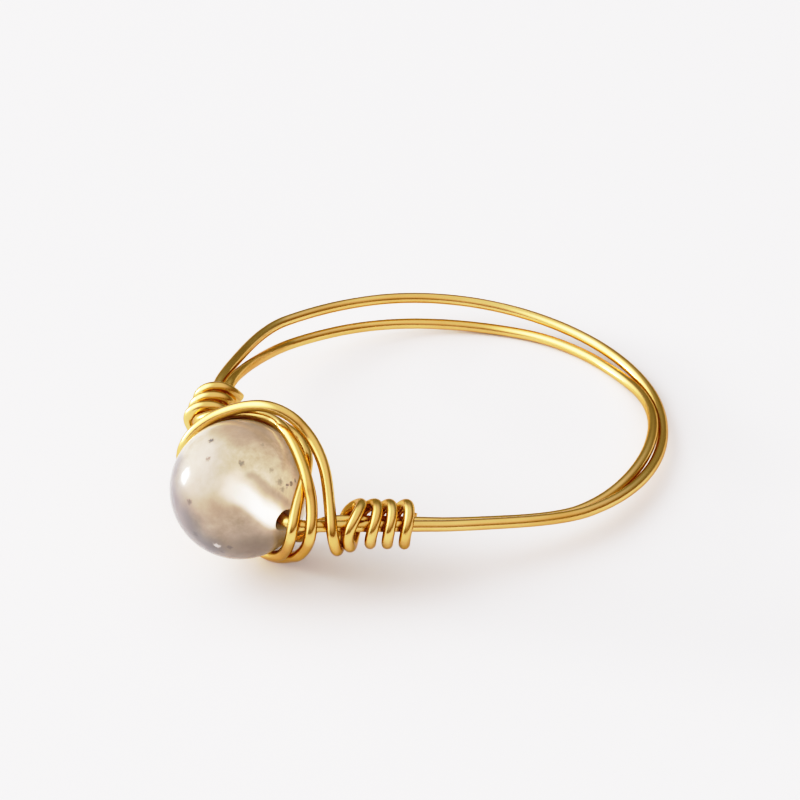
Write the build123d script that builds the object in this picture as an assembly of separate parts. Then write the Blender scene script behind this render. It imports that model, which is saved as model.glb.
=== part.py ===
from build123d import *
import os
from math import cos, hypot, pi, radians, sin, sqrt, tan

# A moonstone ring, wound by hand from one length of gold-coloured wire: the wire goes through a
# round drilled bead, twice round the finger as a double band, over and round the bead, and ends
# in a coil on each side of it. It lies on its side, on Z = 0.
#
# The wire is worked out in the ring's own frame and then laid down to rest: the middle of the
# finger hole is the origin, the bead lies towards -Y, its hole runs along X, and Z is the axis
# of the band. Lengths are millimetres and angles are degrees.

# Bead
bead_diameter = 6.0
bead_hole = 1.0
hole_lip = 0.06

# Wire, and the gap left between wires that lie side by side and between the wire and the bead
wire_diameter = 0.5
wire_gap = 0.03

# Finger hole, inside the band: its width, and its length from the bead to the far side
finger_width = 18.22
finger_length = 17.93
band_roundness = 0.929

# How far the bead's hole lies above the band's outer wire
bead_rise = 0.51

# The wire bends from the bead's hole into each leg this far outside the bead
right_bend_out = 0.53
left_bend_out = 0.65

# Where the straight legs meet the round band, measured round from +X
leg_meets = -30.0

# Coils: how far along the leg they start from the bend, the step between turns in steps of one
# wire, and how flat they are: 1 is round, less is pressed flat on the two wires inside
right_coil_start = 2.36
right_coil_spread = 1.39
right_coil_flatness = 1.0
left_coil_start = 2.58
left_coil_spread = 1.47
left_coil_flatness = 0.85
even_turns = 2.5
coil_slack = 0.03

# The straight core of the wire ends this far inside each mouth of the bead's hole
mouth_inset = 0.8

# Corners of the wires along the legs, as shares of a leg's length from the bend at the bead
right_outer_corners = (0.00, 0.16, 0.37, 0.59, 0.75)
right_inner_corners = (0.15, 0.37, 0.59, 0.75)
left_outer_corners = (0.235, 0.36, 0.53, 0.70)
left_inner_corners = (0.16, 0.32, 0.48, 0.66)

# The wire's corners are this many degrees apart round the band, the bead and a coil
band_step_degrees = 15
wrap_step_degrees = 15
coil_step_degrees = 60

# Worked out from the sizes above
bead_radius = bead_diameter / 2
wire_radius = wire_diameter / 2
side_step = wire_diameter + wire_gap
laid_reach = bead_radius + wire_radius + wire_gap
band_half_width = finger_width / 2 + side_step + wire_radius
band_half_length = band_half_width * band_roundness
bead_distance = finger_length + bead_radius - (band_half_length - side_step - wire_radius)
coil_radius = 1.5 * side_step + coil_slack      # round two wires that lie side by side

# The band's two wires, round from the right leg over the far side to the left leg. The outer
# wire's outset and rise, and the inner wire's inset and rise from the outer one, are in steps
# of one wire. Columns: angle, outset, rise, inset, inner rise.
band_table = [
    (-30, 0.00, 0.00, 0.90, -0.52),
    (-15, 0.00, 0.00, 0.90, -0.48),
    (0, 0.00, 0.00, 0.96, -0.36),
    (15, 0.00, 0.00, 1.02, 0.05),
    (30, 0.00, 0.00, 0.92, 0.45),
    (45, 0.04, 0.00, 0.85, 0.57),
    (60, 0.13, 0.00, 1.01, 0.18),
    (75, 0.10, 0.00, 1.02, -0.60),
    (90, 0.05, 0.00, 1.00, -0.90),
    (105, 0.00, 0.00, 1.00, -1.20),
    (120, 0.00, 0.00, 1.00, -1.78),
    (135, 0.00, 0.00, 1.00, -2.06),
    (150, 0.00, 0.00, 1.00, -2.12),
    (165, -0.07, 0.00, 1.00, -2.00),
    (180, 0.11, 0.09, 1.02, -1.90),
    (195, 0.78, 0.25, 1.05, -1.75),
    (210, 1.15, 1.50, 1.10, 0.65),
]

# How the wire lies on the bead, round the bead's hole: 0 is on top, 90 at the right leg, 180
# underneath and 270 at the left leg. The shift towards the finger is in bead radii, and the
# lift off the bead in steps of one wire. Columns: turn, shift, lift.
# From the band's outer wire: over the top, past the right mouth of the hole, underneath, past
# the left mouth, and over the first strand to the right coil.
outer_wraps = [
    (-75, 0.310, 1.85),
    (-60, 0.420, 0.80),
    (-45, 0.550, 0.10),
    (-30, 0.680, 0.00),
    (0, 0.850, 0.00),
    (30, 0.820, 0.00),
    (45, 0.720, 0.12),
    (60, 0.450, 0.06),
    (75, 0.085, 0.30),
    (90, -0.150, 1.18),
    (105, -0.060, 0.50),
    (120, 0.060, 0.10),
    (150, 0.200, 0.00),
    (180, 0.283, 0.00),
    (210, 0.245, 0.00),
    (240, 0.080, 0.00),
    (255, -0.080, 0.02),
    (270, -0.190, 0.06),
    (285, -0.175, 0.02),
    (300, -0.060, 0.00),
    (315, 0.100, 0.02),
    (330, 0.250, 0.20),
    (345, 0.390, 0.65),
    (360, 0.500, 1.18),
    (375, 0.640, 1.42),
    (390, 0.750, 1.25),
    (405, 0.740, 1.33),
    (420, 0.680, 1.50),
    (435, 0.540, 1.84),
    (450, 0.275, 3.32),
]
# From the band's inner wire: underneath, past the left mouth, over the top beside the first
# strand and across it, round the right leg, underneath again and to the left coil.
inner_wraps = [
    (105, 0.400, 0.55),
    (120, 0.500, 0.22),
    (150, 0.617, 0.00),
    (180, 0.640, 0.00),
    (210, 0.530, 0.00),
    (240, 0.310, 0.15),
    (255, 0.160, 0.45),
    (270, 0.020, 1.08),
    (285, 0.045, 0.45),
    (300, 0.150, 0.05),
    (330, 0.460, 0.00),
    (360, 0.655, 0.00),
    (390, 0.530, 0.02),
    (405, 0.440, 0.25),
    (420, 0.305, 0.92),
    (435, 0.250, 1.28),
    (450, 0.025, 2.28),
    (465, 0.130, 1.48),
    (480, 0.190, 1.00),
    (495, 0.290, 0.62),
    (510, 0.370, 0.75),
    (540, 0.440, 1.22),
    (570, 0.570, 1.30),
    (585, 0.600, 1.20),
    (600, 0.650, 1.75),
]

# How each coil starts. A turn begins outside the leg. The tables give how far along the leg the
# wire lies from the coil's start, and how much further out than in a tight coil, in steps of one
# wire. Columns: turn, along, loose. The right coil's first two turns lean over each other and
# hang a little loose.
right_first_turns = [
    (60, -0.95, 0.75),
    (120, -0.30, 0.60),
    (180, 0.15, 0.10),
    (240, 1.35, 0.00),
    (300, 0.55, 0.00),
    (360, -0.45, 0.00),
    (420, 0.10, 0.35),
    (480, 0.75, 0.35),
    (540, 1.30, 0.05),
    (600, 2.45, 0.00),
    (660, 2.15, 0.00),
    (720, 1.54, 0.00),
]
left_first_turns = [(-120, -0.50, 0.10), (-60, -0.15, 0.00), (0, 0.00, 0.00)]
# The share of the step that the even turns gain round each turn. The right coil's turns lean
# over in front and cross over behind.
right_turn_share = [(0, 0.00), (60, 0.13), (120, 0.44), (180, 0.89), (240, 1.45), (300, 1.32), (360, 1.00)]
left_turn_share = [(0, 0.00), (60, -0.08), (120, 0.14), (180, 0.55), (240, 0.92), (300, 1.00), (360, 1.00)]


def read(table, at):
    """The other columns of a table at a value of its first column, straight between its rows."""
    for low, high in zip(table, table[1:]):
        if at <= high[0]:
            share = (at - low[0]) / (high[0] - low[0])
            return [a + (b - a) * share for a, b in zip(low[1:], high[1:])]
    return list(table[-1][1:])


def rounding(step):
    """How much further out the corners of a round path lie than the path itself."""
    return 1 / cos(radians(step / 2))


def band_point(angle, inner, step=0):
    """A point of the band's outer or inner wire, by its angle round the finger hole."""
    outset, rise, inset, inner_rise = read(band_table, angle)
    if inner:
        outset, rise = outset - inset, rise + inner_rise
    out = outset * side_step
    grow = rounding(step)
    return ((band_half_width + out) * grow * cos(radians(angle)),
            (band_half_length + out) * grow * sin(radians(angle)),
            rise * side_step)


def leg_frame(side):
    """Where a leg's outer wire starts and ends, its length and its two directions."""
    bend_out = right_bend_out if side > 0 else left_bend_out
    start = (side * (bead_radius + bend_out), -bead_distance, bead_rise)
    end = band_point(leg_meets if side > 0 else 180 - leg_meets, inner=False)
    length = hypot(end[0] - start[0], end[1] - start[1])
    along = ((end[0] - start[0]) / length, (end[1] - start[1]) / length)
    out = (side * along[1], -side * along[0])
    return start, length, (end[2] - start[2]) / length, along, out


def leg_point(side, distance, inset=0.0, rise=0.0):
    """A point beside a leg's outer wire, by its distance from the bend at the bead."""
    start, length, climb, along, out = leg_frame(side)
    return (start[0] + along[0] * distance - out[0] * inset,
            start[1] + along[1] * distance - out[1] * inset,
            start[2] + climb * distance + rise)


def inner_offset(side, distance):
    """How far in and up the inner wire of a leg lies from the outer one."""
    outset, rise, inset, inner_rise = read(band_table, leg_meets if side > 0 else 180 - leg_meets)
    share = distance / leg_frame(side)[1]
    return side_step * (1 + (inset - 1) * share), side_step * inner_rise * share


def outer_leg(side, corners):
    """Corners of a leg's outer wire."""
    length = leg_frame(side)[1]
    return [leg_point(side, share * length) for share in corners]


def inner_leg(side, corners):
    """Corners of a leg's inner wire."""
    distances = [share * leg_frame(side)[1] for share in corners]
    return [leg_point(side, distance, *inner_offset(side, distance)) for distance in distances]


def coil_point(side, distance, turn, loose=0.0):
    """A corner of a coil round both wires of a leg. The turn starts outside the leg."""
    inset, rise = inner_offset(side, distance)
    apart = hypot(inset, rise)
    reach = coil_radius * rounding(coil_step_degrees) + loose * side_step
    turned = radians(-side * turn)
    to_inset, to_rise = -reach * cos(turned), reach * sin(turned)
    # the part of the reach that lies across the pair of wires is pressed flat
    flatness = right_coil_flatness if side > 0 else left_coil_flatness
    pressed = (1 - flatness) * (to_rise * inset - to_inset * rise) / apart
    return leg_point(side, distance, inset / 2 + to_inset + pressed * rise / apart,
                     rise / 2 + to_rise - pressed * inset / apart)


def coil(side, start, spread, first_turns, turn_share):
    """A coil's turns from the bead outwards. It ends behind the leg, half a turn further on."""
    path = [coil_point(side, start + steps * side_step, turn, loose) for turn, steps, loose in first_turns]
    start += first_turns[-1][1] * side_step
    for turn in range(coil_step_degrees, int(360 * even_turns) + 1, coil_step_degrees):
        whole, part = divmod(turn, 360)
        along = spread * side_step * (whole + read(turn_share, part)[0])
        path.append(coil_point(side, start + along, turn))
    return path


def wrap_point(turn, shift, lift):
    """A corner of a strand on the bead."""
    reach = laid_reach + lift * side_step
    away = sqrt(reach ** 2 - (shift * bead_radius) ** 2) * rounding(wrap_step_degrees)
    return (away * sin(radians(turn)), shift * bead_radius - bead_distance,
            bead_rise + away * cos(radians(turn)))


def wraps(table):
    first, last = table[0][0], table[-1][0]
    return [wrap_point(turn, *read(table, turn)) for turn in range(first, last + 1, wrap_step_degrees)]


def band(inner):
    angles = range(-15, 196, band_step_degrees)
    return [band_point(angle, inner, band_step_degrees) for angle in angles]


def mouth(side):
    """The straight core, where it leaves the bead's hole."""
    return (side * (bead_radius - mouth_inset), -bead_distance, bead_rise)


def outer_wire():
    """From the bead's hole on the right: the outer wire, then the bead and the right coil."""
    path = [mouth(1)] + outer_leg(1, right_outer_corners)
    path += band(inner=False)
    path += reversed(outer_leg(-1, left_outer_corners))
    path += wraps(outer_wraps)
    return path + coil(1, right_coil_start, right_coil_spread, right_first_turns, right_turn_share)


def inner_wire():
    """From the bead's hole on the left: the inner wire, then the bead and the left coil."""
    start, length, climb, along, out = leg_frame(-1)
    bend = (start[0] + side_step / along[1], start[1], start[2])
    path = [mouth(-1), bend] + inner_leg(-1, left_inner_corners)
    path += reversed(band(inner=True))
    path += reversed(inner_leg(1, right_inner_corners))
    path += wraps(inner_wraps)
    return path + coil(-1, left_coil_start, left_coil_spread, left_first_turns, left_turn_share)


def whole_wire():
    """Every corner of the wire, from the end of the left coil to the end of the right one."""
    middle = (0.0, -bead_distance, bead_rise)
    return inner_wire()[::-1] + [middle] + outer_wire()
# end of the wire's route


# How sharply the wire may turn: its smallest bend, and the share of a run that an arc takes up
smallest_bend = 0.5
arc_share = 0.48
straight_within = 0.4


def bent_path(corners):
    """Straight runs joined by arcs as large as the runs allow."""
    points = [Vector(*corner) for corner in corners]
    kept, radii = [points[0]], []
    for before, here, after in zip(points, points[1:], points[2:]):
        turn = (here - before).get_angle(after - here)
        if turn > straight_within:
            shorter = min((here - before).length, (after - here).length)
            kept.append(here)
            radii.append(max(smallest_bend, arc_share * shorter / tan(radians(turn / 2))))
    print("corners", len(radii), "tightest bend", round(min(radii), 2))
    return FilletPolyline(*kept, points[-1], radius=radii)


def make_wire(path):
    """The whole ring's wire as one solid."""
    section = Plane(origin=path @ 0, z_dir=path % 0) * Circle(wire_radius)
    wire = sweep(section, path=path)
    print("wire length", round(path.length, 1), "volume", round(wire.volume, 3),
          "section times length", round(pi * wire_radius ** 2 * path.length, 3))
    return wire


def make_bead():
    """A round bead drilled along X, with the two lips of its hole broken."""
    bead = Sphere(bead_radius) - Cylinder(bead_hole / 2, bead_diameter)
    rims = [edge for edge in bead.edges() if edge.length < pi * bead_diameter / 2
            and edge.bounding_box().size.Z < bead_hole / 2]
    return Pos(0, -bead_distance, bead_rise) * Rot(0, 90, 0) * chamfer(rims, hole_lip)


def resting_plane(path):
    """The flat surface under the ring, through three points of the wire's middle line.

    One is below the bead, and the others are on the far half of the band, left and right."""
    points = [edge @ share for edge in path.edges() for share in (0, 0.25, 0.5, 0.75)]
    groups = [[point for point in points if point.Y < -bead_distance / 2],
              [point for point in points if point.Y > 0 and point.X > 0],
              [point for point in points if point.Y > 0 and point.X < 0]]
    up = Vector(0, 0, 1)
    for settle in range(12):
        near, right, left = [min(group, key=lambda point: point.dot(up)) for group in groups]
        up = (right - near).cross(left - near).normalized()
    return Plane(origin=near, x_dir=Vector(up.Z, 0, -up.X), z_dir=up)


path = bent_path(whole_wire())
floor = resting_plane(path)
solids = {"gold_wire": make_wire(path), "moonstone_bead": make_bead()}
resting = {name: Pos(0, 0, wire_radius) * floor.to_local_coords(solid) for name, solid in solids.items()}
boxes = [solid.bounding_box() for solid in resting.values()]
middle_x = (min(box.min.X for box in boxes) + max(box.max.X for box in boxes)) / 2
middle_y = (min(box.min.Y for box in boxes) + max(box.max.Y for box in boxes)) / 2
print("floor", floor.origin, floor.z_dir, "middle", round(middle_x, 3), round(middle_y, 3))

os.makedirs("parts", exist_ok=True)
for name, solid in resting.items():
    placed = Pos(-middle_x, -middle_y, 0) * solid
    box = placed.bounding_box()
    print(name, "valid", placed.is_valid, "volume", round(placed.volume, 3), box.min, box.max)
    export_step(placed, f"parts/{name}.step")
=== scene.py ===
# %% [markdown]
# # A moonstone ring
# The real ring is wound by hand from one length of gold-coloured wire. The wire goes through a
# round, drilled bead of moonstone, twice round the finger, over the bead, and ends in a coil on
# each side of it. It was photographed lying on its side on a white table.
#
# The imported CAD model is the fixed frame. Both of its pieces are right in shape but coarse, so
# each is made again here, smooth, in the same place.

from math import asin, cos, hypot, pi, radians, sin, sqrt

import bmesh
import bpy
from mathutils import Matrix, Vector


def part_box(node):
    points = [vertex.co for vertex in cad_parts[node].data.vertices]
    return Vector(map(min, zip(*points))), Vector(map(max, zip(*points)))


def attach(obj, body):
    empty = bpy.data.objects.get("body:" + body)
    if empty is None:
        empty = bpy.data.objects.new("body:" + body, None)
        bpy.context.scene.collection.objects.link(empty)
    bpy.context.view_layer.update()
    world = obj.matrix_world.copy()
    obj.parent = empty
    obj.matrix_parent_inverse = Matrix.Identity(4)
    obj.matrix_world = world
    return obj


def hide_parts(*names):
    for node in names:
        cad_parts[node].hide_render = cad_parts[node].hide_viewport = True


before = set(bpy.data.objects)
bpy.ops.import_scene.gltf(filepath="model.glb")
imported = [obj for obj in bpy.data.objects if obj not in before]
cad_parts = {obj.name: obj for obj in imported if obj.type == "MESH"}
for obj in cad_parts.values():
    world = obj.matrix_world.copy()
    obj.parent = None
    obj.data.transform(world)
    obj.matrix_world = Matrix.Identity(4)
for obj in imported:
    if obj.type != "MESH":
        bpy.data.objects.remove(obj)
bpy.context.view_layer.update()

# %% [markdown]
# ## Helpers
# Every material and node tree below is written out in code. One small function adds a node with
# its settings and its links, so that each line of a tree reads like a sentence. Colours are
# written as they look on a screen, and one function turns them into the linear numbers that
# light is worked out in. The other functions make what every material or object needs.

# %% Colours and nodes
MM = 0.001


def colour(code, alpha=1.0):
    """A screen colour such as "E6B04A" as linear numbers."""
    parts = [int(code[i:i + 2], 16) / 255 for i in (0, 2, 4)]
    linear = [p / 12.92 if p <= 0.04045 else ((p + 0.055) / 1.055) ** 2.4 for p in parts]
    return (*linear, alpha)


def add(tree, kind, inputs=None, **settings):
    """Add a node. inputs gives each socket a value, or an output socket to be linked from."""
    node = tree.nodes.new(kind)
    for name, value in settings.items():
        setattr(node, name, value)
    for name, value in (inputs or {}).items():
        if isinstance(value, bpy.types.NodeSocket):
            tree.links.new(value, node.inputs[name])
        else:
            node.inputs[name].default_value = value
    return node


def blank_material(name):
    """A new material and its empty node tree."""
    made = bpy.data.materials.new(name)
    made.use_nodes = True
    made.node_tree.nodes.clear()
    return made, made.node_tree


def two_tones(tree, mask, tones):
    """A colour between two, each given with its place in the mask."""
    ramp = add(tree, "ShaderNodeValToRGB", {"Fac": mask})
    for element, (place, code) in zip(ramp.color_ramp.elements, tones):
        element.position = place
        element.color = colour(code)
    return ramp.outputs["Color"]


def surface(tree, **inputs):
    """Finish a material with a Principled surface. An input's name is written with _ for a space."""
    named = {name.replace("_", " "): value for name, value in inputs.items()}
    shader = add(tree, "ShaderNodeBsdfPrincipled", named)
    add(tree, "ShaderNodeOutputMaterial", {"Surface": shader.outputs[0]})


def put(name, data):
    """A new object in the scene, at the origin."""
    made = bpy.data.objects.new(name, data)
    bpy.context.scene.collection.objects.link(made)
    return made


print("one millimetre is", MM, "m")

# %% [markdown]
# ## The wire's route
# On the real ring the wire's place follows from how it is wound, so its route is written as a
# maker would describe it: round the band, along the legs, over the bead and round the coils.
# Drawing the curve by hand would also work, but the strands have to pass each other with a hair
# of room, and that is easier to keep right with numbers. These are the CAD source's own values,
# in millimetres, because the new wire has to lie exactly where the CAD wire does.

# %% Sizes of the ring
# Bead
bead_diameter = 6.0
bead_hole = 1.0
hole_lip = 0.06

# Wire, and the gap left between wires that lie side by side and between the wire and the bead
wire_diameter = 0.5
wire_gap = 0.03

# Finger hole, inside the band: its width, and its length from the bead to the far side
finger_width = 18.22
finger_length = 17.93
band_roundness = 0.929

# How far the bead's hole lies above the band's outer wire
bead_rise = 0.51

# The wire bends from the bead's hole into each leg this far outside the bead
right_bend_out = 0.53
left_bend_out = 0.65

# Where the straight legs meet the round band, measured round from +X
leg_meets = -30.0

# Coils: how far along the leg they start from the bend, the step between turns in steps of one
# wire, and how flat they are: 1 is round, less is pressed flat on the two wires inside
right_coil_start = 2.36
right_coil_spread = 1.39
right_coil_flatness = 1.0
left_coil_start = 2.58
left_coil_spread = 1.47
left_coil_flatness = 0.85
even_turns = 2.5
coil_slack = 0.03

# The straight core of the wire ends this far inside each mouth of the bead's hole
mouth_inset = 0.8

# Corners of the wires along the legs, as shares of a leg's length from the bend at the bead
right_outer_corners = (0.00, 0.16, 0.37, 0.59, 0.75)
right_inner_corners = (0.15, 0.37, 0.59, 0.75)
left_outer_corners = (0.235, 0.36, 0.53, 0.70)
left_inner_corners = (0.16, 0.32, 0.48, 0.66)

# The wire's corners are this many degrees apart round the band, the bead and a coil
band_step_degrees = 15
wrap_step_degrees = 15
coil_step_degrees = 60

# Worked out from the sizes above
bead_radius = bead_diameter / 2
wire_radius = wire_diameter / 2
side_step = wire_diameter + wire_gap
laid_reach = bead_radius + wire_radius + wire_gap
band_half_width = finger_width / 2 + side_step + wire_radius
band_half_length = band_half_width * band_roundness
bead_distance = finger_length + bead_radius - (band_half_length - side_step - wire_radius)
coil_radius = 1.5 * side_step + coil_slack      # round two wires that lie side by side
print("finger hole", finger_width, "by", finger_length, "mm; bead", bead_diameter, "mm")

# %% [markdown]
# The band and the strands on the bead were bent by hand, and no two bends are the same, so they
# are short tables: where the wire is at each angle. A formula can't give a hand-made bend.

# %% The band's table
# The band's two wires, round from the right leg over the far side to the left leg. The outer
# wire's outset and rise, and the inner wire's inset and rise from the outer one, are in steps
# of one wire. Columns: angle, outset, rise, inset, inner rise.
band_table = [
    (-30, 0.00, 0.00, 0.90, -0.52),
    (-15, 0.00, 0.00, 0.90, -0.48),
    (0, 0.00, 0.00, 0.96, -0.36),
    (15, 0.00, 0.00, 1.02, 0.05),
    (30, 0.00, 0.00, 0.92, 0.45),
    (45, 0.04, 0.00, 0.85, 0.57),
    (60, 0.13, 0.00, 1.01, 0.18),
    (75, 0.10, 0.00, 1.02, -0.60),
    (90, 0.05, 0.00, 1.00, -0.90),
    (105, 0.00, 0.00, 1.00, -1.20),
    (120, 0.00, 0.00, 1.00, -1.78),
    (135, 0.00, 0.00, 1.00, -2.06),
    (150, 0.00, 0.00, 1.00, -2.12),
    (165, -0.07, 0.00, 1.00, -2.00),
    (180, 0.11, 0.09, 1.02, -1.90),
    (195, 0.78, 0.25, 1.05, -1.75),
    (210, 1.15, 1.50, 1.10, 0.65),
]
print("band rows", len(band_table))

# %% The tables of the strands on the bead
# How the wire lies on the bead, round the bead's hole: 0 is on top, 90 at the right leg, 180
# underneath and 270 at the left leg. The shift towards the finger is in bead radii, and the
# lift off the bead in steps of one wire. Columns: turn, shift, lift.
# From the band's outer wire: over the top, past the right mouth of the hole, underneath, past
# the left mouth, and over the first strand to the right coil.
outer_wraps = [
    (-75, 0.310, 1.85),
    (-60, 0.420, 0.80),
    (-45, 0.550, 0.10),
    (-30, 0.680, 0.00),
    (0, 0.850, 0.00),
    (30, 0.820, 0.00),
    (45, 0.720, 0.12),
    (60, 0.450, 0.06),
    (75, 0.085, 0.30),
    (90, -0.150, 1.18),
    (105, -0.060, 0.50),
    (120, 0.060, 0.10),
    (150, 0.200, 0.00),
    (180, 0.283, 0.00),
    (210, 0.245, 0.00),
    (240, 0.080, 0.00),
    (255, -0.080, 0.02),
    (270, -0.190, 0.06),
    (285, -0.175, 0.02),
    (300, -0.060, 0.00),
    (315, 0.100, 0.02),
    (330, 0.250, 0.20),
    (345, 0.390, 0.65),
    (360, 0.500, 1.18),
    (375, 0.640, 1.42),
    (390, 0.750, 1.25),
    (405, 0.740, 1.33),
    (420, 0.680, 1.50),
    (435, 0.540, 1.84),
    (450, 0.275, 3.32),
]
# From the band's inner wire: underneath, past the left mouth, over the top beside the first
# strand and across it, round the right leg, underneath again and to the left coil.
inner_wraps = [
    (105, 0.400, 0.55),
    (120, 0.500, 0.22),
    (150, 0.617, 0.00),
    (180, 0.640, 0.00),
    (210, 0.530, 0.00),
    (240, 0.310, 0.15),
    (255, 0.160, 0.45),
    (270, 0.020, 1.08),
    (285, 0.045, 0.45),
    (300, 0.150, 0.05),
    (330, 0.460, 0.00),
    (360, 0.655, 0.00),
    (390, 0.530, 0.02),
    (405, 0.440, 0.25),
    (420, 0.305, 0.92),
    (435, 0.250, 1.28),
    (450, 0.025, 2.28),
    (465, 0.130, 1.48),
    (480, 0.190, 1.00),
    (495, 0.290, 0.62),
    (510, 0.370, 0.75),
    (540, 0.440, 1.22),
    (570, 0.570, 1.30),
    (585, 0.600, 1.20),
    (600, 0.650, 1.75),
]
print("rows on the bead", len(outer_wraps) + len(inner_wraps))

# %% The coils' tables
# How each coil starts. A turn begins outside the leg. The tables give how far along the leg the
# wire lies from the coil's start, and how much further out than in a tight coil, in steps of one
# wire. Columns: turn, along, loose. The right coil's first two turns lean over each other and
# hang a little loose.
right_first_turns = [
    (60, -0.95, 0.75),
    (120, -0.30, 0.60),
    (180, 0.15, 0.10),
    (240, 1.35, 0.00),
    (300, 0.55, 0.00),
    (360, -0.45, 0.00),
    (420, 0.10, 0.35),
    (480, 0.75, 0.35),
    (540, 1.30, 0.05),
    (600, 2.45, 0.00),
    (660, 2.15, 0.00),
    (720, 1.54, 0.00),
]
left_first_turns = [(-120, -0.50, 0.10), (-60, -0.15, 0.00), (0, 0.00, 0.00)]
# The share of the step that the even turns gain round each turn. The right coil's turns lean
# over in front and cross over behind.
right_turn_share = [(0, 0.00), (60, 0.13), (120, 0.44), (180, 0.89),
                    (240, 1.45), (300, 1.32), (360, 1.00)]
left_turn_share = [(0, 0.00), (60, -0.08), (120, 0.14), (180, 0.55),
                   (240, 0.92), (300, 1.00), (360, 1.00)]
print("rows of the coils", len(right_first_turns) + len(left_first_turns))

# %% [markdown]
# Each function below turns rows of a table into the corners of the wire's path.

# %% Corners of the band and the legs
def read(table, at):
    """The other columns of a table at a value of its first column, straight between its rows."""
    for low, high in zip(table, table[1:]):
        if at <= high[0]:
            share = (at - low[0]) / (high[0] - low[0])
            return [a + (b - a) * share for a, b in zip(low[1:], high[1:])]
    return list(table[-1][1:])


def rounding(step):
    """How much further out the corners of a round path lie than the path itself."""
    return 1 / cos(radians(step / 2))


def band_point(angle, inner, step=0):
    """A point of the band's outer or inner wire, by its angle round the finger hole."""
    outset, rise, inset, inner_rise = read(band_table, angle)
    if inner:
        outset, rise = outset - inset, rise + inner_rise
    out = outset * side_step
    grow = rounding(step)
    return ((band_half_width + out) * grow * cos(radians(angle)),
            (band_half_length + out) * grow * sin(radians(angle)),
            rise * side_step)


def leg_frame(side):
    """Where a leg's outer wire starts and ends, its length and its two directions."""
    bend_out = right_bend_out if side > 0 else left_bend_out
    start = (side * (bead_radius + bend_out), -bead_distance, bead_rise)
    end = band_point(leg_meets if side > 0 else 180 - leg_meets, inner=False)
    length = hypot(end[0] - start[0], end[1] - start[1])
    along = ((end[0] - start[0]) / length, (end[1] - start[1]) / length)
    out = (side * along[1], -side * along[0])
    return start, length, (end[2] - start[2]) / length, along, out


def leg_point(side, distance, inset=0.0, rise=0.0):
    """A point beside a leg's outer wire, by its distance from the bend at the bead."""
    start, length, climb, along, out = leg_frame(side)
    return (start[0] + along[0] * distance - out[0] * inset,
            start[1] + along[1] * distance - out[1] * inset,
            start[2] + climb * distance + rise)


def inner_offset(side, distance):
    """How far in and up the inner wire of a leg lies from the outer one."""
    inset, inner_rise = read(band_table, leg_meets if side > 0 else 180 - leg_meets)[2:]
    share = distance / leg_frame(side)[1]
    return side_step * (1 + (inset - 1) * share), side_step * inner_rise * share


def outer_leg(side, corners):
    """Corners of a leg's outer wire."""
    length = leg_frame(side)[1]
    return [leg_point(side, share * length) for share in corners]


def inner_leg(side, corners):
    """Corners of a leg's inner wire."""
    distances = [share * leg_frame(side)[1] for share in corners]
    return [leg_point(side, distance, *inner_offset(side, distance)) for distance in distances]


print("right leg", round(leg_frame(1)[1], 2), "mm, left leg", round(leg_frame(-1)[1], 2), "mm")

# %% Corners of the coils and of the strands on the bead
def coil_point(side, distance, turn, loose=0.0):
    """A corner of a coil round both wires of a leg. The turn starts outside the leg."""
    inset, rise = inner_offset(side, distance)
    apart = hypot(inset, rise)
    reach = coil_radius * rounding(coil_step_degrees) + loose * side_step
    turned = radians(-side * turn)
    to_inset, to_rise = -reach * cos(turned), reach * sin(turned)
    # the part of the reach that lies across the pair of wires is pressed flat
    flatness = right_coil_flatness if side > 0 else left_coil_flatness
    pressed = (1 - flatness) * (to_rise * inset - to_inset * rise) / apart
    return leg_point(side, distance, inset / 2 + to_inset + pressed * rise / apart,
                     rise / 2 + to_rise - pressed * inset / apart)


def coil(side, start, spread, first_turns, turn_share):
    """A coil's turns from the bead outwards. It ends behind the leg, half a turn further on."""
    path = [coil_point(side, start + steps * side_step, turn, loose)
            for turn, steps, loose in first_turns]
    start += first_turns[-1][1] * side_step
    for turn in range(coil_step_degrees, int(360 * even_turns) + 1, coil_step_degrees):
        whole, part = divmod(turn, 360)
        along = spread * side_step * (whole + read(turn_share, part)[0])
        path.append(coil_point(side, start + along, turn))
    return path


def wrap_point(turn, shift, lift):
    """A corner of a strand on the bead."""
    reach = laid_reach + lift * side_step
    away = sqrt(reach ** 2 - (shift * bead_radius) ** 2) * rounding(wrap_step_degrees)
    return (away * sin(radians(turn)), shift * bead_radius - bead_distance,
            bead_rise + away * cos(radians(turn)))


def wraps(table):
    """The corners of all that a table says about a strand."""
    first, last = table[0][0], table[-1][0]
    turns = range(first, last + 1, wrap_step_degrees)
    return [wrap_point(turn, *read(table, turn)) for turn in turns]


print("corners on the bead", len(wraps(outer_wraps)) + len(wraps(inner_wraps)))

# %% The whole route
def band(inner):
    """Corners of the band's outer or inner wire, from the right leg to the left one."""
    angles = range(-15, 196, band_step_degrees)
    return [band_point(angle, inner, band_step_degrees) for angle in angles]


def mouth(side):
    """The straight core, where it leaves the bead's hole."""
    return (side * (bead_radius - mouth_inset), -bead_distance, bead_rise)


def outer_wire():
    """From the bead's hole on the right: the outer wire, then the bead and the right coil."""
    path = [mouth(1)] + outer_leg(1, right_outer_corners)
    path += band(inner=False)
    path += reversed(outer_leg(-1, left_outer_corners))
    path += wraps(outer_wraps)
    return path + coil(1, right_coil_start, right_coil_spread, right_first_turns, right_turn_share)


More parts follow.
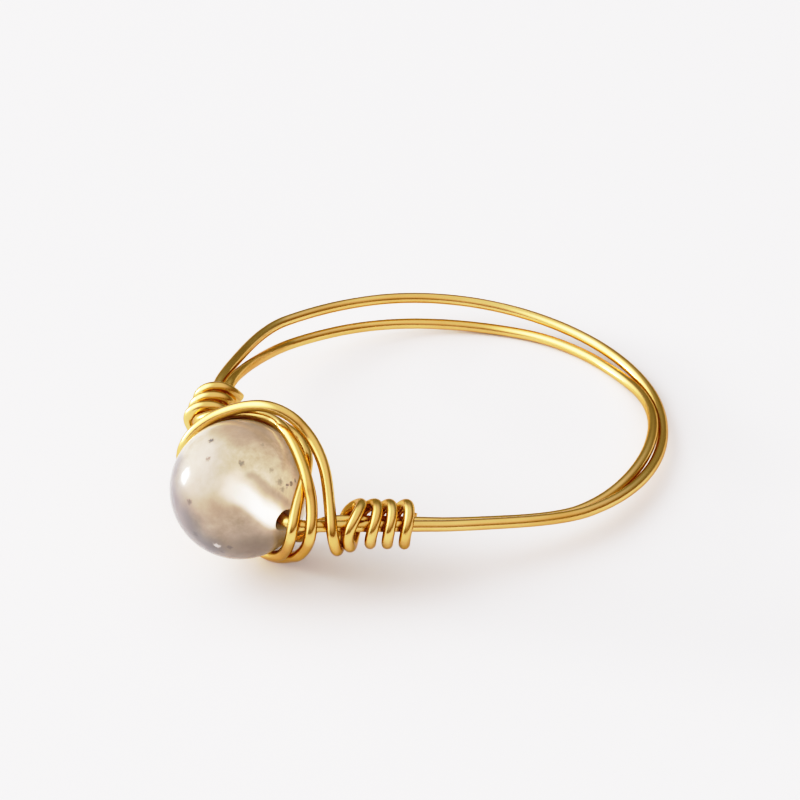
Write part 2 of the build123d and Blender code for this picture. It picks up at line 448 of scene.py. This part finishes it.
def inner_wire():
    """From the bead's hole on the left: the inner wire, then the bead and the left coil."""
    start, along = leg_frame(-1)[0], leg_frame(-1)[3]
    bend = (start[0] + side_step / along[1], start[1], start[2])
    path = [mouth(-1), bend] + inner_leg(-1, left_inner_corners)
    path += reversed(band(inner=True))
    path += reversed(inner_leg(1, right_inner_corners))
    path += wraps(inner_wraps)
    return path + coil(-1, left_coil_start, left_coil_spread, left_first_turns, left_turn_share)


def whole_wire():
    """Every corner of the wire, from the end of the left coil to the end of the right one."""
    middle = (0.0, -bead_distance, bead_rise)
    return inner_wire()[::-1] + [middle] + outer_wire()


corners = whole_wire()
print("corners of the wire", len(corners))

# %% [markdown]
# ## The wire's smooth line
# The corners become the control points of one NURBS curve of order 3. Such a curve touches each
# run between two corners at its middle and cuts the corners, just as a bent wire does. A Bezier
# curve would need two handles for every corner. Order and end points are set after the points
# are added, because set before, Blender leaves the curve at order 2, which is straight runs.

# %% A curve through the corners
POINTS_A_CORNER = 16


def wire_curve(name, points):
    """A NURBS curve with these control points, in metres."""
    curve = bpy.data.curves.new(name, "CURVE")
    curve.dimensions = "3D"
    spline = curve.splines.new("NURBS")
    spline.points.add(len(points) - 1)
    for point, place in zip(spline.points, points):
        point.co = (*place, 1.0)
    spline.order_u = 3
    spline.use_endpoint_u = True
    spline.resolution_u = POINTS_A_CORNER
    return put(name, curve)


def line_points(line):
    """The points of a curve, as Blender draws it."""
    bpy.context.view_layer.update()
    evaluated = line.evaluated_get(bpy.context.evaluated_depsgraph_get())
    drawn = bpy.data.meshes.new_from_object(evaluated)
    points = [vertex.co.copy() for vertex in drawn.vertices]
    bpy.data.meshes.remove(drawn)
    return points


upright = wire_curve("wire line before it rests", [Vector(corner) * MM for corner in corners])
points = line_points(upright)
length = sum((b - a).length for a, b in zip(points, points[1:]))
print("wire", round(length / MM, 1), "mm long, in", len(points), "points")

# %% [markdown]
# ## Laying the ring down
# The real ring rests on three places of its wire: one below the bead, and two on the far half of
# the band. A plane through the lowest points there is the table. It could be found by dropping
# the ring in a simulation, but three points settle it exactly.

# %% The table's plane, in the ring's own frame
SETTLE_ROUNDS = 12


def resting_frame(points):
    """A matrix from the ring's own frame to the table's, with Z up from the table."""
    bead_y = -bead_distance * MM
    groups = [[p for p in points if p.y < bead_y / 2],
              [p for p in points if p.y > 0 and p.x > 0],
              [p for p in points if p.y > 0 and p.x < 0]]
    up = Vector((0, 0, 1))
    for settle in range(SETTLE_ROUNDS):
        near, right, left = [min(group, key=lambda point: point.dot(up)) for group in groups]
        up = (right - near).cross(left - near).normalized()
    across = Vector((up.z, 0, -up.x)).normalized()
    turn = Matrix((across, up.cross(across), up)).to_4x4()
    return Matrix.Translation((0, 0, wire_radius * MM)) @ turn @ Matrix.Translation(-near)


resting = resting_frame(points)
laid = [resting @ p for p in points]
bead_middle = resting @ Vector((0, -bead_distance * MM, bead_rise * MM))
middle_x = (min(p.x for p in laid) + max(p.x for p in laid)) / 2
low_y = bead_middle.y - bead_radius * MM
high_y = max(p.y for p in laid) + wire_radius * MM
resting = Matrix.Translation((-middle_x, -(low_y + high_y) / 2, 0)) @ resting
bead_middle = resting @ Vector((0, -bead_distance * MM, bead_rise * MM))
print("bead's middle is at", [round(c / MM, 2) for c in bead_middle], "mm")

# %% [markdown]
# ## The wire
# On the real ring this is drawn wire: round, hard and smooth, half a millimetre thick. A swept
# circle is the shape that drawing gives, so Geometry Nodes sweep one along the line. A bevelled
# curve would look the same, but the nodes can also write down, at every point, where it would be
# if the wire were pulled straight. The metal's drawing lines follow the wire by that.

# %% Node tree: sweep a round wire
def wire_tree():
    """Curve in, wire out, with its straightened position stored as "straight"."""
    tree = bpy.data.node_groups.new("Sweep a round wire", "GeometryNodeTree")
    face = tree.interface
    face.new_socket("Line", in_out="INPUT", socket_type="NodeSocketGeometry")
    face.new_socket("Radius", in_out="INPUT", socket_type="NodeSocketFloat")
    face.new_socket("Sides", in_out="INPUT", socket_type="NodeSocketInt")
    face.new_socket("Metal", in_out="INPUT", socket_type="NodeSocketMaterial")
    face.new_socket("Wire", in_out="OUTPUT", socket_type="NodeSocketGeometry")
    given = add(tree, "NodeGroupInput").outputs
    spot = add(tree, "GeometryNodeInputPosition")
    run = add(tree, "GeometryNodeSplineParameter")
    ring = add(tree, "GeometryNodeCurvePrimitiveCircle",
               {"Radius": given["Radius"], "Resolution": given["Sides"]})
    marked_ring = add(tree, "GeometryNodeStoreNamedAttribute",
                      {"Geometry": ring.outputs["Curve"], "Name": "across", "Value": spot.outputs[0]},
                      data_type="FLOAT_VECTOR")
    marked_line = add(tree, "GeometryNodeStoreNamedAttribute",
                      {"Geometry": given["Line"], "Name": "along", "Value": run.outputs["Length"]},
                      data_type="FLOAT")
    swept = add(tree, "GeometryNodeCurveToMesh",
                {"Curve": marked_line.outputs[0], "Profile Curve": marked_ring.outputs[0],
                 "Fill Caps": True})
    across = add(tree, "GeometryNodeInputNamedAttribute", {"Name": "across"}, data_type="FLOAT_VECTOR")
    along = add(tree, "GeometryNodeInputNamedAttribute", {"Name": "along"}, data_type="FLOAT")
    split = add(tree, "ShaderNodeSeparateXYZ", {"Vector": across.outputs["Attribute"]})
    straight = add(tree, "ShaderNodeCombineXYZ",
                   {"X": split.outputs["X"], "Y": split.outputs["Y"], "Z": along.outputs["Attribute"]})
    kept = add(tree, "GeometryNodeStoreNamedAttribute",
               {"Geometry": swept.outputs[0], "Name": "straight", "Value": straight.outputs[0]},
               data_type="FLOAT_VECTOR")
    smooth = add(tree, "GeometryNodeSetShadeSmooth", {"Geometry": kept.outputs[0]})
    whole = add(tree, "GeometryNodeRealizeInstances", {"Geometry": smooth.outputs[0]})
    metal = add(tree, "GeometryNodeSetMaterial",
                {"Geometry": whole.outputs[0], "Material": given["Metal"]})
    add(tree, "NodeGroupOutput", {"Wire": metal.outputs[0]})
    return tree


sweep_tree = wire_tree()
print("nodes in the tree", len(sweep_tree.nodes))

# %% [markdown]
# ## Gold-plated brass
# The wire is brass with a thin bright plating of gold, drawn through a die. Plating gives a deep
# yellow metal whose reflections are themselves yellow, and drawing leaves hair lines along the
# wire, which stretch each highlight a little. Real drawing lines are some 0.01 mm apart, too fine
# to show here, so they are drawn 0.06 mm apart. At a glancing angle the plating reflects less
# and browner, so each wire has a fine brown outline, and that is the tint of its reflection.

# %% The metal
DRAWN_LINES = (0.0625, 0.0625, 6.25)    # their size across and along the wire, in mm
HANDLING = (1.667, 1.667, 4.0)          # slow changes from handling, in mm
GLOSS = (0.17, 0.27)                    # roughness, from line to line
LINE_DEPTH = 0.01                       # mm


def along_the_wire(tree, straight, size, **settings):
    """A noise in the straightened wire, with patches of a size in mm."""
    scale = [1 / (side * MM) for side in size]
    at = add(tree, "ShaderNodeMapping", {"Vector": straight, "Scale": scale})
    noise = add(tree, "ShaderNodeTexNoise", {"Vector": at.outputs[0], "Scale": 1.0, **settings})
    return noise.outputs["Fac"]


def gold_plated_brass():
    metal, tree = blank_material("Gold-plated brass, drawn")
    straight = add(tree, "ShaderNodeAttribute", attribute_name="straight").outputs["Vector"]
    lines = along_the_wire(tree, straight, DRAWN_LINES, Detail=2.0, Roughness=0.5)
    handling = along_the_wire(tree, straight, HANDLING)
    tone = two_tones(tree, handling, [(0.35, "D8AF64"), (0.65, "E8C37A")])
    gloss = add(tree, "ShaderNodeMapRange",
                {"Value": lines, "From Min": 0.3, "From Max": 0.7,
                 "To Min": GLOSS[0], "To Max": GLOSS[1]})
    relief = add(tree, "ShaderNodeBump",
                 {"Height": lines, "Strength": 0.25, "Distance": LINE_DEPTH * MM})
    surface(tree, Base_Color=tone, Roughness=gloss.outputs[0], Normal=relief.outputs[0],
            Metallic=1.0, Specular_Tint=colour("D2BBAC"))
    return metal


gold = gold_plated_brass()
print("material", gold.name)

# %% Make the wire
WIRE_SIDES = 24


def settle_mesh(worker, name):
    """A plain mesh object, at the origin, of what a worker object's modifiers give."""
    bpy.context.view_layer.update()
    evaluated = worker.evaluated_get(bpy.context.evaluated_depsgraph_get())
    mesh = bpy.data.meshes.new_from_object(evaluated)
    mesh.name = name
    return put(name, mesh)


line = wire_curve("wire line", [resting @ (Vector(corner) * MM) for corner in corners])
sweep = line.modifiers.new("Sweep", "NODES")
sweep.node_group = sweep_tree
chosen = {"Radius": wire_radius * MM, "Sides": WIRE_SIDES, "Metal": gold}
for socket in sweep_tree.interface.items_tree:
    if socket.name in chosen:
        sweep[socket.identifier] = chosen[socket.name]
wire = settle_mesh(line, "wound_wire")
line.modifiers.clear()
for used in (upright, line):
    bpy.data.objects.remove(used)
print("wire faces", len(wire.data.polygons))

# %% [markdown]
# ## The bead
# The real bead is turned and polished from a milky, half-clear feldspar and drilled right
# through, and the drill leaves the hole's wall frosted. A ball with a hole is a profile spun
# round the hole's axis: along the wall, round the small broken lip, over the outside, and back
# round the other lip. A boolean cut of a sphere would leave long thin faces there.

# %% The bead's profile
LIP_STEPS = 4
WALL_STEPS = 12
BALL_STEPS = 96
BEAD_SIDES = 160


def bead_profile():
    """Places (along the hole, out from it) round one side of the drilled ball, lip to lip."""
    wall = bead_hole / 2
    rim = sqrt(bead_radius ** 2 - wall ** 2)
    lip_end = sqrt(bead_radius ** 2 - (wall + hole_lip) ** 2)
    lip = []
    for step in range(LIP_STEPS):
        t = step / LIP_STEPS
        lip.append(((1 - t) ** 2 * (rim - hole_lip) + 2 * t * (1 - t) * rim + t * t * lip_end,
                    wall + t * t * hole_lip))
    first = asin((wall + hole_lip) / bead_radius)
    ball = []
    for step in range(BALL_STEPS + 1):
        angle = first + (pi - 2 * first) * step / BALL_STEPS
        ball.append((bead_radius * cos(angle), bead_radius * sin(angle)))
    other_lip = [(-x, r) for x, r in reversed(lip)]
    half = rim - hole_lip
    drilled = [(-half + 2 * half * step / WALL_STEPS, wall) for step in range(1, WALL_STEPS)]
    return lip + ball + other_lip + drilled


profile = bead_profile()
print("places round the bead's profile", len(profile))

# %% [markdown]
# ## Moonstone
# Moonstone is a feldspar. It is glassy on the outside and cloudy within, so light goes in, is
# scattered, and comes out soft. What shows as a broad white glow across the bead is its drilled
# hole: the frosted wall seen through the stone, enlarged as if by a lens. So the outside is part
# glass and part milk, and the wall of the hole is frosted and nearly white. The stone's small
# black specks are bits of other minerals, placed one by one where the real bead shows them.

# %% Where the camera stands
view_elevation = radians(34.385)
view_turn = radians(50.275)
view_roll = radians(-5.509)
to_camera = Vector((sin(view_turn) * cos(view_elevation), -cos(view_turn) * cos(view_elevation),
                    sin(view_elevation)))
level = Vector((cos(view_turn), sin(view_turn), 0))
view_across = level * cos(view_roll) + to_camera.cross(level) * sin(view_roll)
view_up = to_camera.cross(view_across)
print("towards the camera", [round(c, 3) for c in to_camera])

# %% [markdown]
# The specks are not spread evenly on the real stone, so they aren't scattered here by a rule.
# Each has its own row, read off the picture.

# %% The stone's specks, and a painted highlight
# Each is a place on the face of the bead that the picture shows, in bead radii from its middle,
# with a size in mm, how strong it is, and its colour. The last one is no speck but a painted
# highlight, a small pale spot.
specks_and_highlight = [
    (-0.368, 0.700, 0.110, 0.90, "564E4C"),
    (-0.400, 0.446, 0.080, 0.80, "7A5F50"),
    (0.070, 0.389, 0.100, 0.75, "6E6A58"),
    (-0.670, -0.149, 0.095, 0.75, "6B5A4E"),
    (0.480, 0.290, 0.090, 0.55, "7A775E"),
    (0.600, 0.130, 0.120, 0.60, "7A775E"),
    (0.640, 0.020, 0.090, 0.55, "7A775E"),
    (0.700, 0.075, 0.070, 0.75, "564E4C"),
    (0.755, 0.095, 0.075, 0.75, "564E4C"),
    (0.805, 0.130, 0.065, 0.70, "564E4C"),
    (0.360, 0.640, 0.080, 0.40, "7A775E"),
    (-0.600, -0.620, 0.110, 0.55, "564E4C"),
    (-0.110, -0.800, 0.100, 0.55, "564E4C"),
    (-0.230, -0.870, 0.080, 0.55, "564E4C"),
    # a painted highlight, not a speck
    (-0.290, -0.780, 0.120, 0.80, "EFEAE6"),
]


def place_on_bead(across, up):
    """A place on the bead's surface, from where it is on the face that the picture shows."""
    toward = sqrt(max(0.0, 1 - across ** 2 - up ** 2))
    way = view_across * across + view_up * up + to_camera * toward
    return bead_middle + way * bead_radius * MM


print("specks_and_highlight", len(specks_and_highlight))

# %% [markdown]
# Moonstone is layered feldspar, half clear. Its layers show as long soft streaks and patches
# rather than as spots, so each one is painted as a rounded streak between two places on the face
# that the picture shows. Painted shade, a painted sheen and a painted reflection on the stone are
# made as such streaks too. Such a streak needs only the distance from a line, so it stays smooth
# at every size. The brightest one is a painted glow over the drilled hole, whose frosted wall
# scatters the light out through the stone.

# %% Streaks inside the stone, with painted shade, sheen, reflection and glow
DRIFT = (0.16, 0.16, 0.0)       # of the streaks, in bead radii


def drifted(tree, place, start, reach, scale, **settings):
    """A start moved a little this way and that, by a noise of a scale at each place."""
    noise = add(tree, "ShaderNodeTexNoise", {"Vector": place, "Scale": scale, **settings})
    drift = add(tree, "ShaderNodeVectorMath", {0: noise.outputs["Color"], 1: (0.5, 0.5, 0.5)},
                operation="SUBTRACT")
    return add(tree, "ShaderNodeVectorMath", {0: drift.outputs[0], 1: reach, 2: start},
               operation="MULTIPLY_ADD").outputs[0]


def flat_place(tree, place):
    """Where each point of the stone lies on the face that the picture shows, in bead radii."""
    sides = []
    for side in (view_across, view_up, to_camera):
        measured = add(tree, "ShaderNodeVectorMath", {0: place, 1: side / (bead_radius * MM)},
                       operation="DOT_PRODUCT")
        start = side.dot(bead_middle) / (bead_radius * MM)
        sides.append(add(tree, "ShaderNodeMath", {0: measured.outputs["Value"], 1: start},
                         operation="SUBTRACT").outputs[0])
    # on the far side the depth counts too, so that the streaks fade out there
    depth = add(tree, "ShaderNodeMath", {0: sides[2], 1: 0.0}, operation="MINIMUM").outputs[0]
    face = add(tree, "ShaderNodeCombineXYZ", {"X": sides[0], "Y": sides[1], "Z": depth}).outputs[0]
    # no streak has a ruler's edge
    return drifted(tree, place, face, DRIFT, 900.0, Detail=1.0)


def streak(tree, face, start, end, core, edge, amount, fade=0.0):
    """A mask: amount inside a rounded streak of half width core, and none outside edge.

    Fade is the first share of the streak's length, over which it grows from nothing."""
    start, end = Vector((*start, 0)), Vector((*end, 0))
    run = end - start
    from_start = add(tree, "ShaderNodeVectorMath", {0: face, 1: start}, operation="SUBTRACT")
    along = add(tree, "ShaderNodeVectorMath", {0: from_start.outputs[0], 1: run / run.length_squared},
                operation="DOT_PRODUCT")
    share = add(tree, "ShaderNodeClamp", {"Value": along.outputs["Value"]})
    nearest = add(tree, "ShaderNodeVectorMath", {0: run, "Scale": share.outputs[0]},
                  operation="SCALE")
    away = add(tree, "ShaderNodeVectorMath", {0: from_start.outputs[0], 1: nearest.outputs[0]},
               operation="DISTANCE")
    mask = add(tree, "ShaderNodeMapRange",
               {"Value": away.outputs["Value"], "From Min": core, "From Max": edge,
                "To Min": amount, "To Max": 0.0}, interpolation_type="SMOOTHSTEP")
    if not fade:
        return mask.outputs[0]
    grown = add(tree, "ShaderNodeMapRange", {"Value": along.outputs["Value"], "From Max": fade},
                interpolation_type="SMOOTHSTEP")
    return add(tree, "ShaderNodeMath", {0: mask.outputs[0], 1: grown.outputs[0]},
               operation="MULTIPLY").outputs[0]


def tinted(tree, colours, mask, code):
    """The colours so far, changed to another colour where the mask says."""
    mix = add(tree, "ShaderNodeMix", {"Factor": mask}, data_type="RGBA")
    tree.links.new(colours, mix.inputs["A"])
    mix.inputs["B"].default_value = colour(code)
    return mix.outputs["Result"]


# Streaks and patches on that face: each one's two ends in bead radii (across, up), the half
# width of its core and of its edge, how strong it is and its colour. First the pale haze on the
# left, then the duller stone below it, the painted shade on the underside, the painted grey shade
# and bluish sheen along the edge in two parts, the painted reflection of the wire on the top and
# the thin painted shade beside the hole.
tints_and_painted_light = [
    ((-0.40, 0.50), (-0.60, 0.05), 0.08, 0.42, 0.60, "C9B9A6"),
    ((-0.75, -0.10), (-0.30, -0.30), 0.05, 0.34, 0.45, "A8927A"),
    # painted shade on the underside
    ((-0.15, -0.95), (0.25, -0.92), 0.10, 0.60, 0.80, "836D5D"),
    # painted grey shade and bluish sheen along the edge, in two parts
    ((-0.95, -0.20), (-0.50, -0.85), 0.04, 0.40, 0.88, "6C656A"),
    ((-0.92, 0.40), (-1.00, -0.20), 0.03, 0.24, 0.90, "746C6D"),
    # painted reflection of the wire on the top
    ((-0.25, 0.86), (0.30, 0.86), 0.04, 0.34, 0.60, "A38D73"),
    # thin painted shade beside the hole
    ((0.20, 0.22), (0.66, -0.18), 0.01, 0.11, 0.60, "7F6F5D"),
]
# A painted glow, of the hole's frosted wall seen through the stone, lies along this line.
glow_start, glow_end = (-0.30, 0.22), (0.50, -0.37)
print("tinted streaks", len(tints_and_painted_light))

# %% [markdown]
# The stone's colour is built up in layers, from the broadest to the finest: cloudy patches, the
# streaks with their painted shade, sheen and reflection, the painted haze and glow over the hole,
# and the specks with one painted highlight. The glow is also given off as light, and so is a
# little on the side away from the window, where light that went in gathers. Real scattering would
# do both, but it needs far more samples than a small picture is worth.

# %% The stone's outside
FELDSPAR_IOR = 1.52
SCATTER_DEPTH = 0.3         # how deep light goes into the stone, in mm
GLOW_SHARE = 0.75           # how much of the glow over the hole is given off as light


def moonstone():
    stone, tree = blank_material("Moonstone, polished")
    place = add(tree, "ShaderNodeTexCoord").outputs["Object"]
    # cloudy patches, some 1.5 mm across, with finer ones in them
    clouds = add(tree, "ShaderNodeTexNoise", {"Vector": place, "Scale": 650.0, "Detail": 5.0,
                                              "Roughness": 0.68, "Distortion": 0.15})
    last = two_tones(tree, clouds.outputs["Fac"], [(0.34, "AF9D81"), (0.66, "DFD0B8")])
    face = flat_place(tree, place)
    # the streaks, among them painted shade, a painted sheen and a painted reflection
    for start, end, core, edge, amount, code in tints_and_painted_light:
        last = tinted(tree, last, streak(tree, face, start, end, core, edge, amount), code)
    # painted glow over the drilled hole: a pale haze, and a white core that is also given off as light
    painted_glow_haze = streak(tree, face, glow_start, glow_end, 0.04, 0.36, 0.80, 0.30)
    last = tinted(tree, last, painted_glow_haze, "F6E4CC")
    glow = streak(tree, face, glow_start, glow_end, 0.05, 0.21, 1.0, 0.80)
    last = tinted(tree, last, glow, "FFFDF6")
    # the specks are ragged: the place is shifted a little, by up to about 0.05 mm
    shifted = drifted(tree, place, place, (0.3 * MM, 0.3 * MM, 0.3 * MM), 9000.0)
    # the specks, and the painted highlight in the last row
    for across, up, size, strength, code in specks_and_highlight:
        near = add(tree, "ShaderNodeVectorMath", {0: shifted, 1: place_on_bead(across, up)},
                   operation="DISTANCE")
        mark = add(tree, "ShaderNodeMapRange",
                   {"Value": near.outputs["Value"], "From Min": 0.5 * size * MM,
                    "From Max": 1.8 * size * MM, "To Min": strength, "To Max": 0.0},
                   interpolation_type="SMOOTHSTEP")
        last = tinted(tree, last, mark.outputs[0], code)
    # light that came in on the window's side gathers on the side away from it
    through = streak(tree, face, (0.35, 0.35), (0.75, -0.10), 0.10, 0.72, 0.52)
    shine = add(tree, "ShaderNodeMath", {0: glow, 1: GLOW_SHARE, 2: through},
                operation="MULTIPLY_ADD")
    surface(tree, Base_Color=last, Roughness=0.16, IOR=FELDSPAR_IOR, Transmission_Weight=0.25,
            Subsurface_Weight=0.5, Subsurface_Radius=(1.0, 0.85, 0.7),
            Subsurface_Scale=SCATTER_DEPTH * MM, Emission_Color=last,
            Emission_Strength=shine.outputs[0])
    return stone


# %% The frosted wall of the hole
def frosted_wall():
    wall, tree = blank_material("Moonstone, drilled")
    place = add(tree, "ShaderNodeTexCoord").outputs["Object"]
    # grit of some 0.1 mm
    grit = add(tree, "ShaderNodeTexNoise", {"Vector": place, "Scale": 9000.0, "Detail": 2.0})
    tone = two_tones(tree, grit.outputs["Fac"], [(0.0, "E4DACB"), (1.0, "FBF6EE")])
    surface(tree, Base_Color=tone, Roughness=0.85, IOR=FELDSPAR_IOR)
    return wall


stone, drilled_wall = moonstone(), frosted_wall()
print("materials", stone.name, "and", drilled_wall.name)

# %% [markdown]
# The profile is copied round the hole's axis and each copy is joined to the next with flat
# four-sided faces. With 160 copies the ball looks round even in a close view. Faces near the
# axis belong to the drilled wall and get the frosted material.

# %% Spin the bead
def spin(profile, sides, name):
    """A closed profile spun round the X axis, in metres."""
    mesh = bpy.data.meshes.new(name)
    rows = len(profile)
    vertices = []
    for side in range(sides):
        turn = 2 * pi * side / sides
        vertices += [(x * MM, r * MM * cos(turn), r * MM * sin(turn)) for x, r in profile]
    faces = []
    for side in range(sides):
        this, after = side * rows, (side + 1) % sides * rows
        for row in range(rows):
            following = (row + 1) % rows
            faces.append((this + row, this + following, after + following, after + row))
    mesh.from_pydata(vertices, [], faces)
    shape = bmesh.new()
    shape.from_mesh(mesh)
    bmesh.ops.recalc_face_normals(shape, faces=shape.faces)
    shape.to_mesh(mesh)
    shape.free()
    mesh.polygons.foreach_set("use_smooth", [True] * len(mesh.polygons))
    return mesh


bead_mesh = spin(profile, BEAD_SIDES, "drilled_bead")
bead_mesh.materials.append(stone)
bead_mesh.materials.append(drilled_wall)
for face in bead_mesh.polygons:
    from_axis = sqrt(face.center.y ** 2 + face.center.z ** 2)
    if from_axis < (bead_hole / 2 + hole_lip / 4) * MM:
        face.material_index = 1
bead_mesh.transform(resting @ Matrix.Translation((0, -bead_distance * MM, bead_rise * MM)))
bead = put("drilled_bead", bead_mesh)
print("bead faces", len(bead_mesh.polygons))

# %% [markdown]
# ## Put the new pieces on the ring's body
# Each new piece takes the place of the CAD piece that it repeats, which is hidden, and rides on
# the ring's only body.

# %% Pieces and the CAD
for piece, node, finish in ((wire, "gold_wire", "gold_wire"), (bead, "moonstone_bead", "moonstone")):
    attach(piece, "root")
    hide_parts(node)
    low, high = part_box(node)
    corners_of = [vertex.co for vertex in piece.data.vertices]
    for axis, letter in enumerate("XYZ"):
        off_low = min(c[axis] for c in corners_of) - low[axis]
        off_high = max(c[axis] for c in corners_of) - high[axis]
        print(piece.name, letter, "differs from the CAD by",
              round(off_low / MM, 3), round(off_high / MM, 3), "mm")

# %% [markdown]
# ## The studio
# The ring was photographed on a white table in a pale room, with the light mostly from the
# left: the shadow of the bead falls to the right, and the left sides of the wires are nearly
# white. The camera's side is dark and brown. That dark side draws the brown lines along the
# wire, because polished metal shows only what is around it.

# %% The table
TABLE_HALF = 0.6
table_mesh = bpy.data.meshes.new("table")
table_corners = [(x * TABLE_HALF, y * TABLE_HALF, 0) for x, y in ((-1, -1), (1, -1), (1, 1), (-1, 1))]
table_mesh.from_pydata(table_corners, [], [(0, 1, 2, 3)])
table = put("table", table_mesh)
paint = bpy.data.materials.new("Matt white board")
paint.use_nodes = True
board = paint.node_tree.nodes["Principled BSDF"]
board.inputs["Base Color"].default_value = colour("F4F2F2")
board.inputs["Roughness"].default_value = 0.7
table_mesh.materials.append(paint)
print("table", 2 * TABLE_HALF, "m wide")

# %% [markdown]
# The room is a world of its own, made of a few broad glows that fade into each other. A picture
# of a real room would do the same, but with this one every reflection on the wire can be traced
# to one row of a short list.

# %% The room's light
def glow_towards(tree, way, centre, nearly, fully, amount, code):
    """Light that grows as a direction turns towards a centre: none at nearly, all at fully."""
    facing = add(tree, "ShaderNodeVectorMath", {0: way, 1: Vector(centre).normalized()},
                 operation="DOT_PRODUCT")
    grown = add(tree, "ShaderNodeMapRange",
                {"Value": facing.outputs["Value"], "From Min": nearly, "From Max": fully,
                 "To Min": 0.0, "To Max": amount}, interpolation_type="SMOOTHSTEP")
    glow = add(tree, "ShaderNodeBackground", {"Color": colour(code), "Strength": grown.outputs[0]})
    return glow.outputs[0]


def room_light(parts):
    room = bpy.data.worlds.new("Pale room")
    room.use_nodes = True
    tree = room.node_tree
    tree.nodes.clear()
    way = add(tree, "ShaderNodeTexCoord").outputs["Generated"]
    total = add(tree, "ShaderNodeBackground", {"Color": colour(DARK_WOOD), "Strength": DARKEST})
    for part in parts:
        glow = glow_towards(tree, way, *part)
        total = add(tree, "ShaderNodeAddShader", {0: total.outputs[0], 1: glow})
    add(tree, "ShaderNodeOutputWorld", {"Surface": total.outputs[0]})
    return room


# The room's darkest light, and what is brighter: a centre, where its glow starts and is full,
# as cosines of the angle from it, how bright it is and its colour. First the pale ceiling, then
# the bright side on the left, the wall behind, and brown wood low on the right.
DARKEST = 0.08
DARK_WOOD = "D9A577"
DAYLIGHT = "F6FAFF"
room_parts = [
    ((0.10, -0.10, 1.00), 0.25, 0.95, 1.00, DAYLIGHT),
    ((-0.72, -0.62, 0.45), 0.55, 0.985, 3.65, DAYLIGHT),
    ((-0.60, 0.80, 0.30), 0.20, 0.90, 0.25, DAYLIGHT),
    ((0.95, -0.10, 0.05), -0.10, 0.75, 0.30, "DB9F6B"),
]
bpy.context.scene.world = room_light(room_parts)
print("parts of the room's light", len(room_parts))

# %% [markdown]
# The small clear highlight on the bead's left comes from a window, low on the left. It is a
# light of its own, because a small and very bright part in the room's light would make the
# picture grainy.

# %% The window
WINDOW_WIDTH = 0.10
WINDOW_HEIGHT = 0.11
WINDOW_GLOW = 52.0
WINDOW_AWAY = 0.48
WINDOW_MIDDLE = 0.070       # above the table
window_side = Vector((-0.865, -0.50, 0))
window_data = bpy.data.lights.new("window", "AREA")
window_data.shape = "RECTANGLE"
window_data.size = WINDOW_WIDTH
window_data.size_y = WINDOW_HEIGHT
window_data.energy = WINDOW_GLOW * pi * WINDOW_WIDTH * WINDOW_HEIGHT
window = put("window", window_data)
window.location = window_side * WINDOW_AWAY + Vector((0, 0, WINDOW_MIDDLE))
window.rotation_euler = window.location.to_track_quat("Z", "Y").to_euler()
print("window at", [round(c, 2) for c in window.location], "m")

# %% [markdown]
# The camera stands where the photographer's did. Its angles, the place that it looks at and its
# lens were found by laying outlines of the round band and the round bead over the picture, until
# they fell on the real ones.

# %% The camera
CAMERA_DISTANCE = 140
aim = Vector((-1.833, 1.580, 2.066)) * MM
camera_data = bpy.data.cameras.new("camera")
camera_data.sensor_width = 36
camera_data.lens = 138.86
camera_data.clip_start = 0.01
camera = put("camera", camera_data)
pose = Matrix((view_across, view_up, to_camera)).transposed().to_4x4()
camera.matrix_world = Matrix.Translation(aim + to_camera * CAMERA_DISTANCE * MM) @ pose
bpy.context.scene.camera = camera
print("camera at", [round(c / MM, 1) for c in camera.matrix_world.translation], "mm")

# %% [markdown]
# A camera doesn't show light in plain proportion: it deepens dark tones a little and rounds off
# bright ones, so that a white table keeps its soft shadows and gold keeps its colour up to the
# brightest highlight. One curve over the plain view does the same. Each row is a brightness in
# the scene and the brightness that is shown.

# %% The camera's curve
BRIGHTEST = 2.0
tones = [(0.04, 0.015), (0.10, 0.08), (0.36, 0.35), (0.72, 0.70), (1.24, 0.905)]
view = bpy.context.scene.view_settings
view.view_transform = "Standard"
view.use_curve_mapping = True
view.curve_mapping.white_level = (BRIGHTEST, BRIGHTEST, BRIGHTEST)
curve = view.curve_mapping.curves[3]
for bright, shown in tones:
    curve.points.new(bright / BRIGHTEST, shown)
view.curve_mapping.update()
print("points of the curve", len(curve.points))

# %% The end
bpy.context.view_layer.update()
